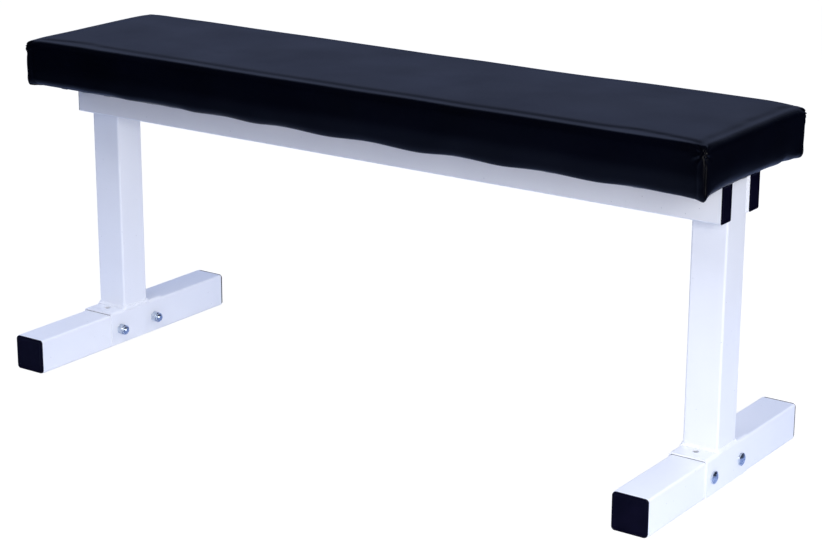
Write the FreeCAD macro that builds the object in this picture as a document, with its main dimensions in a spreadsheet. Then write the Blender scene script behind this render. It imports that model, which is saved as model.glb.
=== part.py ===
import FreeCAD, Part
import math
import os

import Sketcher

# A flat weight bench: two bolt-on feet, two uprights on bent saddles, two side rails and an
# upholstered pad.  Millimetres.  +X runs along the bench, +Y across it and +Z up, and the
# origin is on the floor under the middle of the pad.  "Left" is the -X end, "front" is -Y.

doc = FreeCAD.newDocument("flat_weight_bench")

EDGE_TOLERANCE = 1e-4  # how near a plane an edge must lie to count as in it

# ---------------------------------------------------------------- driving dimensions
DIMENSIONS = [
    ("foot_spacing", 1020.0, "centre to centre of the two feet"),
    ("foot_length", 406.4, "cut length of each foot tube"),
    ("square_side", 50.8, "side of the square tube of the feet and uprights"),
    ("square_wall", 2.1, "wall of the square tube"),
    ("square_corner", 3.0, "outer corner radius of the square tube"),
    ("saddle_plate", 2.5, "plate that each saddle is bent from"),
    ("saddle_length", 114.0, "length of each saddle along its foot"),
    ("saddle_bend", 5.0, "outer radius of the saddle's two bends"),
    ("saddle_side_clearance", 0.1, "gap between a foot's side and its saddle"),
    ("saddle_top_gap", 0.8, "gap between a foot's top and its saddle"),
    ("saddle_lift", 2.5, "height of the saddle's lower edges above the floor"),
    ("vent_diameter", 9.0, "round vent hole in the saddle's top"),
    ("vent_setback", 11.0, "from the upright's face to the middle of the vent hole"),
    ("rail_underside", 363.0, "height of the underside of the side rails"),
    ("rail_overhang", 2.6, "from an upright's outer face to the end of a rail tube"),
    ("rail_width", 25.4, "width of the rail tube"),
    ("rail_height", 50.8, "height of the rail tube"),
    ("rail_wall", 1.65, "wall of the rail tube"),
    ("rail_corner", 2.5, "outer corner radius of the rail tube"),
    ("foot_plug_flange", 3.0, "thickness of the cap of a foot plug"),
    ("foot_plug_corner", 5.0, "corner radius of the cap of a foot plug"),
    ("rail_plug_flange", 1.5, "thickness of the cap of a rail plug"),
    ("plug_stem", 16.0, "depth of a plug's hollow stem in the tube"),
    ("plug_wall", 2.0, "wall of a plug's hollow stem"),
    ("plug_clearance", 0.2, "gap between a plug's stem and the tube"),
    ("plug_edge", 0.8, "rounding of the outer edge of a plug's cap"),
    ("weld_leg", 4.0, "leg of a fillet weld"),
    ("weld_toe", 0.5, "thickness of a weld at its upper toe"),
    ("weld_root", 2.0, "depth of the base weld in the groove beside the saddle's bend"),
    ("foot_bolt_diameter", 9.525, "shank of the bolts that hold a foot in its saddle"),
    ("foot_bolt_proud", 2.65, "how far a foot bolt stands out of its lock nut"),
    ("foot_bolt_spacing", 76.2, "centre to centre of the two bolts of a foot"),
    ("foot_bolt_overhang", 3.7, "how far the domed head reaches past the shank all round"),
    ("foot_bolt_head_height", 5.2, "height of the domed head"),
    ("foot_bolt_rim", 2.4, "height of the head's straight rim"),
    ("foot_bolt_neck", 5.4, "length of the square neck under the head"),
    ("foot_bolt_chamfer", 1.0, "chamfer at the end of a bolt"),
    ("hole_clearance", 0.3, "gap all round a shank or neck in its hole"),
    ("lock_nut_wall", 2.3875, "least wall of a lock nut's hexagon round its thread"),
    ("lock_nut_hex", 8.2, "height of the nut's hexagon"),
    ("lock_nut_height", 11.2, "height of the nut with its collar"),
    ("collar_wall", 0.8, "wall of the nut's collar round the nylon ring"),
    ("insert_wall", 1.0375, "wall of the nylon ring round the thread"),
    ("insert_height", 2.4, "height of the nylon ring"),
    ("insert_setback", 0.5, "depth of the nylon ring below the collar's end"),
    ("pad_overhang", 19.3, "from the end of a rail's plug to the end of the finished pad"),
    ("pad_width", 273.0, "width of the finished pad"),
    ("pad_corner", 8.0, "corner radius of the finished pad seen from above"),
    ("board_thickness", 15.875, "plywood under the foam"),
    ("board_inset", 12.0, "thickness of the foam all round the board"),
    ("board_edge", 2.0, "rounding of the board's lower edge"),
    ("foam_thickness", 50.8, "foam above the board"),
    ("foam_edge", 9.0, "rounding of the foam's upper edge"),
    ("cover_thickness", 1.0, "vinyl of the cover"),
    ("cover_roll", 8.0, "rounding of the cover's lower edge"),
    ("cover_margin", 45.0, "width of the cover's margin turned under the board"),
    ("pad_bolt_diameter", 7.9375, "shank of the bolts that hold the pad"),
    ("pad_bolt_setback", 1.075, "from the end of a pad bolt to the board's top"),
    ("pad_bolt_inset", 84.6, "from an upright's inner face to the nearest pad bolt"),
    ("pad_bolt_wall", 2.38125, "half the head's width across its flats less half the shank"),
    ("pad_bolt_head", 5.3, "height of a pad bolt's head"),
    ("washer_rim", 4.43125, "width of a washer's ring round its hole"),
    ("washer_thickness", 1.6, "thickness of a pad bolt's washer"),
    ("access_clearance", 0.8, "gap all round a washer in the rail's access hole"),
    ("tee_rim", 4.9, "how far a tee nut's flange reaches past its barrel all round"),
    ("tee_flange", 1.4, "thickness of a tee nut's flange"),
    ("tee_wall", 1.13125, "wall of a tee nut's barrel"),
    ("tee_barrel", 11.0, "length of a tee nut's barrel"),
    ("staple_crown", 11.0, "width of a staple"),
    ("staple_wire", 1.2, "width of the staple's flat wire"),
    ("staple_gauge", 0.6, "thickness of the staple's flat wire"),
    ("staple_leg", 8.0, "length of a staple's legs"),
    ("staple_setback", 16.5, "from the pad's side to the line of staples"),
    ("staple_end_gap", 60.0, "from the pad's corner to the first staple of a row"),
    ("side_staples", 25.0, "number of staples along each long side"),
    ("end_staples", 5.0, "number of staples along each end"),
]

sheet = doc.addObject("Spreadsheet::Sheet", "Sizes")
for row, (alias, value, meaning) in enumerate(DIMENSIONS, start=1):
    sheet.set(f"A{row}", meaning)
    sheet.set(f"B{row}", str(value))
    sheet.setAlias(f"B{row}", alias)
doc.recompute()

# Lengths and heights that follow from the driving dimensions, as expressions.
HALF_SQUARE = "Sizes.square_side / 2"
SADDLE_TOP = "(Sizes.square_side + Sizes.saddle_top_gap + Sizes.saddle_plate)"
SADDLE_WIDTH = "(Sizes.square_side + 2 * (Sizes.saddle_side_clearance + Sizes.saddle_plate))"
RAIL_LENGTH = "(Sizes.foot_spacing + Sizes.square_side + 2 * Sizes.rail_overhang)"
RAIL_TOP = "(Sizes.rail_underside + Sizes.rail_height)"
RAIL_OFFSET = "(Sizes.square_side + Sizes.rail_width) / 2"
BOARD_UNDERSIDE = f"({RAIL_TOP} + Sizes.cover_thickness)"
FOAM_UNDERSIDE = f"({BOARD_UNDERSIDE} + Sizes.board_thickness)"
CORE_HEIGHT = "(Sizes.board_thickness + Sizes.foam_thickness)"
PAD_LENGTH = f"({RAIL_LENGTH} + 2 * (Sizes.rail_plug_flange + Sizes.pad_overhang))"
CORE_LENGTH = f"({PAD_LENGTH} - 2 * Sizes.cover_thickness)"
CORE_WIDTH = "(Sizes.pad_width - 2 * Sizes.cover_thickness)"
CORE_CORNER = "(Sizes.pad_corner - Sizes.cover_thickness)"
CORE_ROLL = "(Sizes.cover_roll - Sizes.cover_thickness)"
BOARD_LENGTH = f"({CORE_LENGTH} - 2 * Sizes.board_inset)"
BOARD_WIDTH = f"({CORE_WIDTH} - 2 * Sizes.board_inset)"
PAD_BOLT_SEAT = f"({RAIL_TOP} - Sizes.rail_wall - Sizes.washer_thickness)"
PAD_BOLT_X = "((Sizes.foot_spacing - Sizes.square_side) / 2 - Sizes.pad_bolt_inset)"
FOOT_BOLT_Y = "Sizes.foot_bolt_spacing / 2"
FOOT_BOLT_HOLE = "(Sizes.foot_bolt_diameter + 2 * Sizes.hole_clearance)"
PAD_BOLT_HOLE = "(Sizes.pad_bolt_diameter + 2 * Sizes.hole_clearance)"
WASHER_DIAMETER = f"({PAD_BOLT_HOLE} + 2 * Sizes.washer_rim)"
TEE_BARREL_DIAMETER = "(Sizes.pad_bolt_diameter + 2 * Sizes.tee_wall)"
TEE_FLANGE_DIAMETER = f"({TEE_BARREL_DIAMETER} + 2 * Sizes.tee_rim)"
INSERT_DIAMETER = "(Sizes.foot_bolt_diameter + 2 * Sizes.insert_wall)"


def size(expression):
    """The number that an expression of the sheet's cells gives now."""
    return float(sheet.evalExpression(expression))


# ---------------------------------------------------------------- sketches
def new_body(name):
    body = doc.addObject("PartDesign::Body", name)
    body.Label = name
    body.AllowCompound = True
    return body


def place(thing, x="0", y="0", z="0"):
    """Bind a body's place to expressions."""
    for axis, expression in (("x", x), ("y", y), ("z", z)):
        if expression != "0":
            thing.setExpression(f"Placement.Base.{axis}", expression)


def origin_plane(body, role):
    return next(item for item in body.Origin.OriginFeatures if item.Role == role)


def new_sketch(body, name, plane, height="0"):
    """A sketch on one of the body's own planes, raised by height along the plane's normal."""
    sketch = body.newObject("Sketcher::SketchObject", name)
    sketch.AttachmentSupport = [(origin_plane(body, plane), "")]
    sketch.MapMode = "FlatFace"
    if height != "0":
        sketch.setExpression("AttachmentOffset.Base.z", height)
    return sketch


def bind(sketch, constraint, name, expression):
    """Add a dimension to a sketch, named and bound to an expression."""
    index = sketch.addConstraint(constraint)
    sketch.renameConstraint(index, name)
    sketch.setExpression(f"Constraints.{name}", expression)


def rounded_rectangle(body, name, plane, width, height, corner, lift="0"):
    """A centred rectangle with round corners, drawn anticlockwise from its lower side."""
    sketch = new_sketch(body, name, plane, lift)
    w, h, r = size(width) / 2, size(height) / 2, size(corner)
    ends = [
        (w - r, -h), (w, r - h), (w, h - r), (w - r, h),
        (r - w, h), (-w, h - r), (-w, r - h), (r - w, -h),
    ]
    centres = [(w - r, r - h), (w - r, h - r), (r - w, h - r), (r - w, r - h)]
    quarter_turn = math.pi / 2
    sides, corners = [], []
    for turn in range(4):
        start = FreeCAD.Vector(*ends[2 * turn - 1])
        end = FreeCAD.Vector(*ends[2 * turn])
        sides.append(sketch.addGeometry(Part.LineSegment(start, end)))
        circle = Part.Circle(FreeCAD.Vector(*centres[turn]), FreeCAD.Vector(0, 0, 1), r)
        arc = Part.ArcOfCircle(circle, (turn - 1) * quarter_turn, turn * quarter_turn)
        corners.append(sketch.addGeometry(arc))
    for turn in range(4):
        sketch.addConstraint(Sketcher.Constraint("Tangent", sides[turn], 2, corners[turn], 1))
        sketch.addConstraint(Sketcher.Constraint("Tangent", corners[turn], 2, sides[(turn + 1) % 4], 1))
        level = "Horizontal" if turn % 2 == 0 else "Vertical"
        sketch.addConstraint(Sketcher.Constraint(level, sides[turn]))
        if turn:
            sketch.addConstraint(Sketcher.Constraint("Equal", corners[0], corners[turn]))
    sketch.addConstraint(Sketcher.Constraint("Symmetric", sides[0], 1, sides[2], 1, -1, 1))
    bind(sketch, Sketcher.Constraint("DistanceX", sides[3], 1, sides[1], 1, 2 * w), "width", width)
    bind(sketch, Sketcher.Constraint("DistanceY", sides[0], 1, sides[2], 1, 2 * h), "height", height)
    bind(sketch, Sketcher.Constraint("Radius", corners[0], r), "corner", corner)
    return sketch


def pin_point(sketch, shape, point, name, x, y):
    """Hold one point of a sketch at two distances from the sketch's origin."""
    for kind, axis, expression in (("DistanceX", -2, x), ("DistanceY", -1, y)):
        distance = size(expression)
        if distance == 0:
            sketch.addConstraint(Sketcher.Constraint("PointOnObject", shape, point, axis))
        else:
            limit = Sketcher.Constraint(kind, -1, 1, shape, point, distance)
            bind(sketch, limit, f"{name}_{kind[-1].lower()}", expression)


def circles(body, name, plane, centres, diameter, lift="0"):
    """Round holes of one diameter; each centre is a pair of expressions."""
    sketch = new_sketch(body, name, plane, lift)
    rings = []
    for number, (x, y) in enumerate(centres):
        middle = FreeCAD.Vector(size(x), size(y), 0)
        ring = sketch.addGeometry(Part.Circle(middle, FreeCAD.Vector(0, 0, 1), size(diameter) / 2))
        pin_point(sketch, ring, 3, f"centre{number}", x, y)
        rings.append(ring)
    bind(sketch, Sketcher.Constraint("Diameter", rings[0], size(diameter)), "diameter", diameter)
    for ring in rings[1:]:
        sketch.addConstraint(Sketcher.Constraint("Equal", rings[0], ring))
    return sketch


def outline(body, name, plane, corners, lift="0", domes=()):
    """A closed outline through corners; a side numbered in domes is an arc centred on the X axis."""
    sketch = new_sketch(body, name, plane, lift)
    points = [FreeCAD.Vector(size(x), size(y), 0) for x, y in corners]
    starts = []
    for number, start in enumerate(points):
        end = points[(number + 1) % len(points)]
        if number in domes:
            middle = (end.x**2 + end.y**2 - start.x**2 - start.y**2) / (2 * (end.x - start.x))
            centre = FreeCAD.Vector(middle, 0, 0)
            circle = Part.Circle(centre, FreeCAD.Vector(0, 0, 1), (start - centre).Length)
            side = Part.ArcOfCircle(circle, circle.parameter(start), circle.parameter(end))
        else:
            side = Part.LineSegment(start, end)
        starts.append(sketch.addGeometry(side))
    for number, side in enumerate(starts):
        following = starts[(number + 1) % len(starts)]
        sketch.addConstraint(Sketcher.Constraint("Coincident", side, 2, following, 1))
        pin_point(sketch, side, 1, f"corner{number}", *corners[number])
        if number in domes:
            sketch.addConstraint(Sketcher.Constraint("PointOnObject", side, 3, -1))
    return sketch


def hexagon(body, name, plane, flats, lift="0"):
    """A hexagon about the origin with two corners on the sketch's Y axis."""
    half, reach = f"{flats} / 2", f"{flats} / sqrt(3)"
    corners = [
        ("0", reach), (f"-{half}", f"{reach} / 2"), (f"-{half}", f"-{reach} / 2"),
        ("0", f"-{reach}"), (half, f"-{reach} / 2"), (half, f"{reach} / 2"),
    ]
    return outline(body, name, plane, corners, lift)


def squares(body, name, plane, centres, width, lift="0"):
    """A sketch of one square at each centre; each centre is a pair of expressions."""
    half = f"{width} / 2"
    for number, (x, y) in enumerate(centres):
        yield outline(body, f"{name}{number}", plane, [
            (f"({x} - {half})", f"({y} - {half})"), (f"({x} + {half})", f"({y} - {half})"),
            (f"({x} + {half})", f"({y} + {half})"), (f"({x} - {half})", f"({y} + {half})"),
        ], lift)


# ---------------------------------------------------------------- features
def pad(body, sketch, length, midplane=False, reverse=False):
    feature = body.newObject("PartDesign::Pad", f"{sketch.Name}_pad")
    feature.Profile = sketch
    feature.SideType = "Symmetric" if midplane else "One side"
    feature.Reversed = reverse
    feature.setExpression("Length", length)
    doc.recompute()
    return feature


def pocket(body, sketch, length=None, midplane=False, reverse=False):
    """Cut a sketch through everything, or to a length; a cut that removes nothing is an error."""
    before = body.Shape.Volume
    feature = body.newObject("PartDesign::Pocket", f"{sketch.Name}_pocket")
    feature.Profile = sketch
    feature.SideType = "Symmetric" if midplane else "One side"
    feature.Reversed = reverse
    if length is None:
        feature.Type = "ThroughAll"
    else:
        feature.setExpression("Length", length)
    doc.recompute()
    if not body.Shape.Volume < before:
        raise ValueError(f"{feature.Name} removes nothing")
    return feature


def revolve(body, sketch):
    """Turn a sketch about its own X axis."""
    feature = body.newObject("PartDesign::Revolution", f"{sketch.Name}_turned")
    feature.Profile = sketch
    feature.ReferenceAxis = (sketch, ["H_Axis"])
    doc.recompute()
    return feature


def fillet_level(body, name, axis, level, radius):
    """Round every edge of the body that lies in one plane, square to an axis at a local level."""
    base = body.Tip
    chosen = []
    for number, edge in enumerate(base.Shape.Edges, start=1):
        low, high = getattr(edge.BoundBox, f"{axis}Min"), getattr(edge.BoundBox, f"{axis}Max")
        if abs(low - level) < EDGE_TOLERANCE and abs(high - level) < EDGE_TOLERANCE:
            chosen.append(f"Edge{number}")
    feature = body.newObject("PartDesign::Fillet", name)
    feature.Base = (base, chosen)
    feature.setExpression("Radius", radius)
    doc.recompute()
    return feature


def mirror_body(body, name, role):
    """Mirror all of a body in one of its own planes and keep both halves."""
    feature = body.newObject("PartDesign::Mirrored", name)
    feature.TransformMode = "Whole shape"
    feature.MirrorPlane = (origin_plane(body, role), [""])
    body.Tip = feature
    doc.recompute()
    return feature


def repeat_body(body, name, along, length, count, across, gap):
    """Repeat all of a body in a grid: count copies over length, and two rows a gap apart."""
    feature = body.newObject("PartDesign::LinearPattern", name)
    feature.TransformMode = "Whole shape"
    feature.Direction = (origin_plane(body, along), [""])
    feature.Direction2 = (origin_plane(body, across), [""])
    feature.setExpression("Length", length)
    feature.setExpression("Occurrences", count)
    feature.setExpression("Length2", gap)
    feature.Occurrences2 = 2
    body.Tip = feature
    doc.recompute()
    return feature


def cut(name, base, tool):
    """One shape less another, keeping both in the document."""
    result = doc.addObject("Part::Cut", name)
    result.Base, result.Tool = base, tool
    doc.recompute()
    return result


def four_places(x, y):
    """The four places that mirror one another about the bench's two middle planes."""
    return [(f"{sx}{x}", f"{sy}{y}") for sx in ("-", "") for sy in ("-", "")]


nodes = []


def keep(thing, name):
    """Name a finished sub-part, so that it's checked and written."""
    thing.Label = name
    nodes.append(thing)
    return thing


# ---------------------------------------------------------------- tube and its plugs
def square_tube(body, plane, lift="0"):
    """The outer outline and the bore of the square tube, ready to pad and to cut."""
    outer = rounded_rectangle(
        body, f"{body.Name}_outer", plane, "Sizes.square_side", "Sizes.square_side",
        "Sizes.square_corner", lift,
    )
    bore = "(Sizes.square_side - 2 * Sizes.square_wall)"
    inner = rounded_rectangle(
        body, f"{body.Name}_bore", plane, bore, bore, "(Sizes.square_corner - Sizes.square_wall)", lift
    )
    return outer, inner


def tube_plug(name, plane, width, height, corner, wall, flange, cap_corner, outward, **where):
    """A moulded plug: a cap over the end of the tube and a hollow stem inside it.

    plane is square to the tube, and outward, +1 or -1, is the way that the cap faces along it.
    """
    body = new_body(name)
    axis, turned = ("Y", outward > 0) if plane == "XZ_Plane" else ("X", outward < 0)
    cap = rounded_rectangle(body, f"{name}_cap", plane, width, height, cap_corner)
    pad(body, cap, flange, reverse=turned)
    fillet_level(body, f"{name}_edge", axis, outward * size(flange), "Sizes.plug_edge")
    around = f"({wall} + Sizes.plug_clearance)"
    stem_corner = f"({corner} - {wall} + Sizes.plug_clearance)"
    stem = rounded_rectangle(
        body, f"{name}_stem", plane, f"({width} - 2 * {around})", f"({height} - 2 * {around})", stem_corner
    )
    pad(body, stem, "Sizes.plug_stem", reverse=not turned)
    around = f"({wall} + Sizes.plug_clearance + Sizes.plug_wall)"
    hollow = rounded_rectangle(
        body, f"{name}_hollow", plane, f"({width} - 2 * {around})", f"({height} - 2 * {around})", stem_corner
    )
    pocket(body, hollow, "Sizes.plug_stem", reverse=turned)
    place(body, **where)
    return keep(body, name)


# ---------------------------------------------------------------- the two ends of the frame
for side, sign in (("left", "-"), ("right", "")):
    end_x = f"{sign}Sizes.foot_spacing / 2"

    # Foot: a square tube across the bench with a bolt hole at each end of the saddle.
    foot = new_body(f"{side}_foot")
    outer, inner = square_tube(foot, "XZ_Plane")
    pad(foot, outer, "Sizes.foot_length", midplane=True)
    pocket(foot, inner, midplane=True)
    bolt_line = [(f"-{FOOT_BOLT_Y}", "0"), (FOOT_BOLT_Y, "0")]
    pocket(foot, circles(
        foot, f"{side}_foot_holes", "YZ_Plane", bolt_line, FOOT_BOLT_HOLE
    ), midplane=True)
    for neck_hole in squares(foot, f"{side}_foot_neck_hole", "YZ_Plane", bolt_line, FOOT_BOLT_HOLE):
        pocket(foot, neck_hole, reverse=side == "right")
    place(foot, x=end_x, z=HALF_SQUARE)
    keep(foot, f"{side}_foot")

    # Saddle: plate bent down over both sides of the foot, drilled with the foot.
    saddle = new_body(f"{side}_saddle")
    skin = rounded_rectangle(
        saddle, f"{side}_saddle_outer", "XZ_Plane", SADDLE_WIDTH, f"2 * {SADDLE_TOP}", "Sizes.saddle_bend"
    )
    pad(saddle, skin, "Sizes.saddle_length", midplane=True)
    inside = rounded_rectangle(
        saddle, f"{side}_saddle_inner", "XZ_Plane",
        f"({SADDLE_WIDTH} - 2 * Sizes.saddle_plate)", f"2 * ({SADDLE_TOP} - Sizes.saddle_plate)",
        "(Sizes.saddle_bend - Sizes.saddle_plate)",
    )
    pocket(saddle, inside, midplane=True)
    trim = outline(saddle, f"{side}_saddle_trim", "XZ_Plane", [
        (f"-{SADDLE_WIDTH}", f"-2 * {SADDLE_TOP}"), (SADDLE_WIDTH, f"-2 * {SADDLE_TOP}"),
        (SADDLE_WIDTH, "Sizes.saddle_lift"), (f"-{SADDLE_WIDTH}", "Sizes.saddle_lift"),
    ])
    pocket(saddle, trim, midplane=True)
    bolt_line = [(f"-{FOOT_BOLT_Y}", HALF_SQUARE), (FOOT_BOLT_Y, HALF_SQUARE)]
    pocket(saddle, circles(
        saddle, f"{side}_saddle_holes", "YZ_Plane", bolt_line, FOOT_BOLT_HOLE
    ), midplane=True)
    for neck_hole in squares(saddle, f"{side}_saddle_neck_hole", "YZ_Plane", bolt_line, FOOT_BOLT_HOLE):
        pocket(saddle, neck_hole, reverse=side == "right")
    vent_y = f"({HALF_SQUARE} + Sizes.vent_setback)"
    vents = circles(
        saddle, f"{side}_saddle_vents", "XY_Plane", [("0", f"-{vent_y}"), ("0", vent_y)],
        "Sizes.vent_diameter",
    )
    pocket(saddle, vents, reverse=True)
    place(saddle, x=end_x)
    keep(saddle, f"{side}_saddle")

    # Upright: a square tube from the saddle to the rails' tops.
    upright = new_body(f"{side}_upright")
    outer, inner = square_tube(upright, "XY_Plane", SADDLE_TOP)
    pad(upright, outer, f"({RAIL_TOP} - {SADDLE_TOP})")
    pocket(upright, inner, reverse=True)
    place(upright, x=end_x)
    keep(upright, f"{side}_upright")

    # Base weld: a bead all round the upright, which also fills the groove at the saddle's bends.
    bead = new_body(f"{side}_base_bead")
    low = rounded_rectangle(
        bead, f"{side}_bead_low", "XY_Plane", SADDLE_WIDTH, "(Sizes.square_side + 2 * Sizes.weld_leg)",
        "Sizes.square_corner", f"({SADDLE_TOP} - Sizes.weld_root)",
    )
    toe = "(Sizes.square_side + 2 * Sizes.weld_toe)"
    high = rounded_rectangle(
        bead, f"{side}_bead_high", "XY_Plane", toe, toe, "Sizes.square_corner",
        f"({SADDLE_TOP} + Sizes.weld_leg)",
    )
    loft = bead.newObject("PartDesign::AdditiveLoft", f"{side}_bead_loft")
    loft.Profile, loft.Sections, loft.Ruled = low, [high], True
    doc.recompute()
    mid_wall = "(Sizes.square_side - Sizes.square_wall)"
    pocket(bead, rounded_rectangle(
        bead, f"{side}_bead_bore", "XY_Plane", mid_wall, mid_wall,
        "(Sizes.square_corner - Sizes.square_wall)",
    ), reverse=True)
    place(bead, x=end_x)
    weld = cut(f"{side}_base_weld_on_saddle", bead, saddle)
    keep(cut(f"{side}_base_weld", weld, upright), f"{side}_base_weld")

    # Rail welds: a bead under each rail and one in each corner between rail and upright.
    beads = new_body(f"{side}_rail_beads")
    under = outline(beads, f"{side}_under_bead", "YZ_Plane", [
        (f"-{HALF_SQUARE}", "Sizes.rail_underside"),
        (f"-({HALF_SQUARE} + Sizes.weld_leg)", "Sizes.rail_underside"),
        (f"-{HALF_SQUARE}", "(Sizes.rail_underside - Sizes.weld_leg)"),
    ])
    pad(beads, under, "(Sizes.square_side - Sizes.square_corner)", midplane=True)
    corner = outline(beads, f"{side}_corner_bead", "XY_Plane", [
        (f"({HALF_SQUARE} - Sizes.square_corner)", f"-{HALF_SQUARE}"),
        (f"({HALF_SQUARE} + Sizes.weld_leg / 2)", f"-{HALF_SQUARE}"),
        (HALF_SQUARE, f"(Sizes.weld_leg - {HALF_SQUARE})"),
        (f"({HALF_SQUARE} - Sizes.square_wall)", f"(Sizes.square_wall - {HALF_SQUARE})"),
    ], "Sizes.rail_underside")
    pad(beads, corner, "Sizes.rail_height")
    mirror_body(beads, f"{side}_beads_along", "YZ_Plane")
    mirror_body(beads, f"{side}_beads_across", "XZ_Plane")
    place(beads, x=end_x)
    keep(cut(f"{side}_rail_welds", beads, upright), f"{side}_rail_welds")

    # Plugs in both ends of the foot.
    for end, mark, outward in (("front", "-", -1), ("rear", "", 1)):
        tube_plug(
            f"{side}_foot_{end}_plug", "XZ_Plane", "Sizes.square_side", "Sizes.square_side",
            "Sizes.square_corner", "Sizes.square_wall", "Sizes.foot_plug_flange",
            "Sizes.foot_plug_corner", outward,
            x=end_x, y=f"{mark}Sizes.foot_length / 2", z=HALF_SQUARE,
        )

# ---------------------------------------------------------------- side rails and their plugs
for side, mark in (("front", "-"), ("rear", "")):
    rail_y = f"{mark}{RAIL_OFFSET}"
    rail_z = "(Sizes.rail_underside + Sizes.rail_height / 2)"
    rail = new_body(f"{side}_rail")
    outer = rounded_rectangle(
        rail, f"{side}_rail_outer", "YZ_Plane", "Sizes.rail_width", "Sizes.rail_height", "Sizes.rail_corner"
    )
    pad(rail, outer, RAIL_LENGTH, midplane=True)
    inner = rounded_rectangle(
        rail, f"{side}_rail_bore", "YZ_Plane", "(Sizes.rail_width - 2 * Sizes.rail_wall)",
        "(Sizes.rail_height - 2 * Sizes.rail_wall)", "(Sizes.rail_corner - Sizes.rail_wall)",
    )
    pocket(rail, inner, midplane=True)
    # The pad bolts pass the top wall; their heads go in through larger holes in the bottom wall.
    places = [(f"-{PAD_BOLT_X}", "0"), (PAD_BOLT_X, "0")]
    pocket(rail, circles(rail, f"{side}_rail_bolt_holes", "XY_Plane", places, PAD_BOLT_HOLE), reverse=True)
    access = f"({WASHER_DIAMETER} + 2 * Sizes.access_clearance)"
    pocket(rail, circles(rail, f"{side}_rail_access_holes", "XY_Plane", places, access))
    place(rail, y=rail_y, z=rail_z)
    keep(rail, f"{side}_rail")
    for end, sign, outward in (("left", "-", -1), ("right", "", 1)):
        tube_plug(
            f"{side}_rail_{end}_plug", "YZ_Plane", "Sizes.rail_width", "Sizes.rail_height",
            "Sizes.rail_corner", "Sizes.rail_wall", "Sizes.rail_plug_flange",
            "Sizes.rail_corner", outward,
            x=f"{sign}{RAIL_LENGTH} / 2", y=rail_y, z=rail_z,
        )

# ---------------------------------------------------------------- foot bolts and lock nuts
# Every fastener of the feet is drawn at the right foot's rear hole, about the X axis, and then
# mirrored to the other three.  Domed heads are on the outer sides, lock nuts on the inner sides.
HEAD_FACE = f"(Sizes.foot_spacing / 2 + {SADDLE_WIDTH} / 2)"
NUT_FACE = f"(Sizes.foot_spacing / 2 - {SADDLE_WIDTH} / 2)"


def four_copies(name, source):
    """Mirror a piece about the bench's two middle planes and gather all four as one sub-part."""
    pieces = [source]
    for axis in ("x", "y"):
        for piece in list(pieces):
            copy = doc.addObject("Part::Mirroring", f"{piece.Name}_{axis}")
            copy.Source = piece
            copy.Normal = FreeCAD.Vector(axis == "x", axis == "y", 0)
            pieces.append(copy)
    group = doc.addObject("Part::Compound", name)
    group.Links = pieces
    doc.recompute()
    return keep(group, name)


bolt = new_body("foot_bolt")
shank_r = "Sizes.foot_bolt_diameter / 2"
head_r = f"({shank_r} + Sizes.foot_bolt_overhang)"
tip = f"({NUT_FACE} - Sizes.lock_nut_height - Sizes.foot_bolt_proud)"
revolve(bolt, outline(bolt, "foot_bolt_outline", "XY_Plane", [
    (f"({HEAD_FACE} + Sizes.foot_bolt_head_height)", "0"),
    (f"({HEAD_FACE} + Sizes.foot_bolt_rim)", head_r),
    (HEAD_FACE, head_r),
    (HEAD_FACE, shank_r),
    (f"({tip} + Sizes.foot_bolt_chamfer)", shank_r),
    (tip, f"({shank_r} - Sizes.foot_bolt_chamfer)"),
    (tip, "0"),
], domes=(0,)))
for neck in squares(bolt, "foot_bolt_neck", "YZ_Plane", [("0", "0")], "Sizes.foot_bolt_diameter",
                    f"({HEAD_FACE} - Sizes.foot_bolt_neck)"):
    pad(bolt, neck, "Sizes.foot_bolt_neck")
place(bolt, y=FOOT_BOLT_Y, z=HALF_SQUARE)
four_copies("foot_bolts", bolt)

nut = new_body("foot_lock_nut")
flats = "(Sizes.foot_bolt_diameter + 2 * Sizes.lock_nut_wall)"
pad(nut, hexagon(nut, "lock_nut_hexagon", "YZ_Plane", flats, f"({NUT_FACE} - Sizes.lock_nut_hex)"),
    "Sizes.lock_nut_hex")
collar_end = f"({NUT_FACE} - Sizes.lock_nut_height)"
collar = f"({INSERT_DIAMETER} + 2 * Sizes.collar_wall)"
pad(nut, circles(nut, "lock_nut_collar_ring", "YZ_Plane", [("0", "0")], collar, collar_end),
    "(Sizes.lock_nut_height - Sizes.lock_nut_hex)")
insert_start = f"({collar_end} + Sizes.insert_setback)"
pocket(nut, circles(nut, "lock_nut_bore", "YZ_Plane", [("0", "0")], "Sizes.foot_bolt_diameter", collar_end),
       "Sizes.lock_nut_height", reverse=True)
pocket(nut, circles(nut, "lock_nut_seat", "YZ_Plane", [("0", "0")], INSERT_DIAMETER, insert_start),
       "Sizes.insert_height", reverse=True)
place(nut, y=FOOT_BOLT_Y, z=HALF_SQUARE)
four_copies("foot_lock_nuts", nut)

insert = new_body("lock_nut_insert")
pad(insert, circles(insert, "insert_ring", "YZ_Plane", [("0", "0")], INSERT_DIAMETER, insert_start),
    "Sizes.insert_height")
pocket(insert, circles(insert, "insert_bore", "YZ_Plane", [("0", "0")], "Sizes.foot_bolt_diameter"),
       reverse=True)
place(insert, y=FOOT_BOLT_Y, z=HALF_SQUARE)
four_copies("lock_nut_inserts", insert)

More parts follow.
